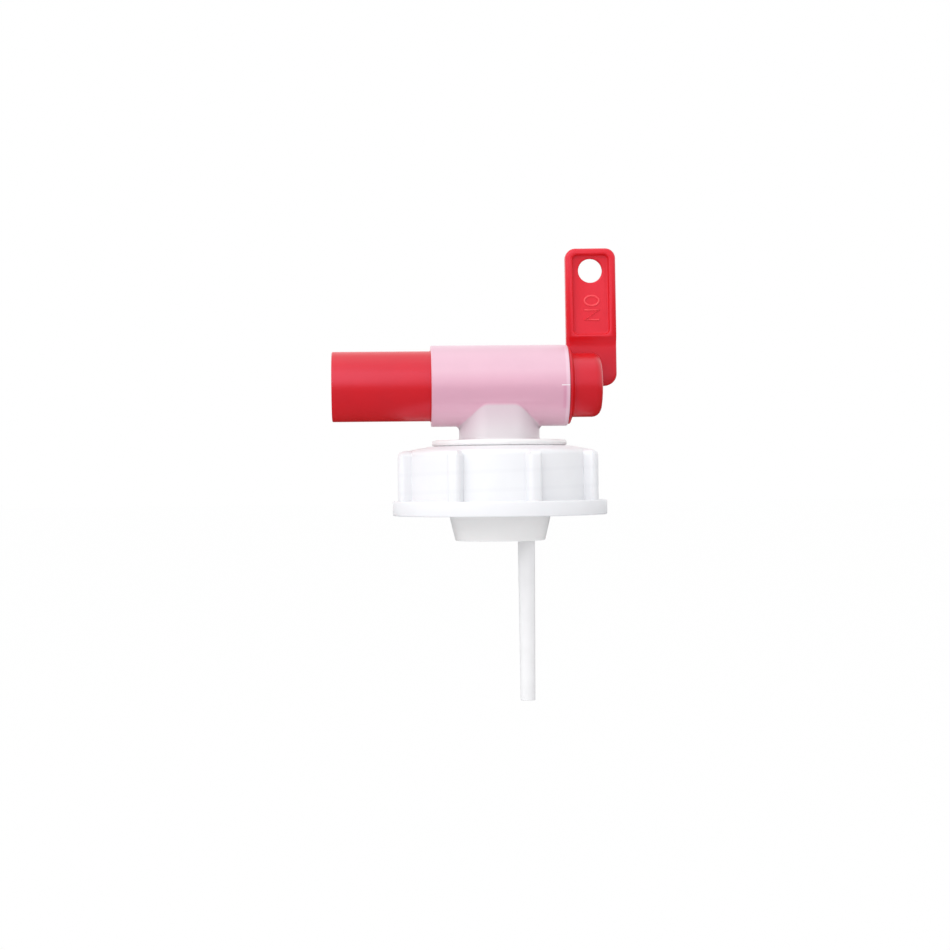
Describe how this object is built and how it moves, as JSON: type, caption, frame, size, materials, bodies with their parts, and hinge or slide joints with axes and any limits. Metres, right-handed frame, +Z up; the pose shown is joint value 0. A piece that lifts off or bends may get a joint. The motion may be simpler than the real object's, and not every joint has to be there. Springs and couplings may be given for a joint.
{
  "type": "jerrycan tap",
  "caption": "Quarter-turn plastic tap on a threaded jerrycan cap, with a straight outlet spout, a lever and a vent tube.",
  "frame": {"origin": "centre of the gasket's underside, on the axis of the jerrycan's neck", "axes": "+Z up along the neck's axis, away from the jerrycan; the spout points to -X and the lever stands at +X, behind the boss"},
  "size_m": [0.096, 0.0714, 0.1514],
  "materials": {
    "white_plastic": "satin",
    "natural_plastic": "satin",
    "seal": "matte",
    "tube_plastic": "satin",
    "red_plastic": "satin"
  },
  "bodies": {
    "cap": {"screw_cap": "white_plastic"},
    "tap": {"tap_body": "natural_plastic", "gasket": "seal", "air_tube": "tube_plastic"},
    "spindle": {"spindle": "red_plastic"}
  },
  "joints": [
    {"name": "tap_swivel", "type": "hinge", "parent": "cap", "child": "tap", "pos_m": [0, 0, 0], "axis": [0, 0, 1], "continuous": true},
    {"name": "spindle_turn", "type": "hinge", "parent": "tap", "child": "spindle", "pos_m": [0, 0, 0.0268], "axis": [1, 0, 0], "range_deg": [0, 90]}
  ]
}
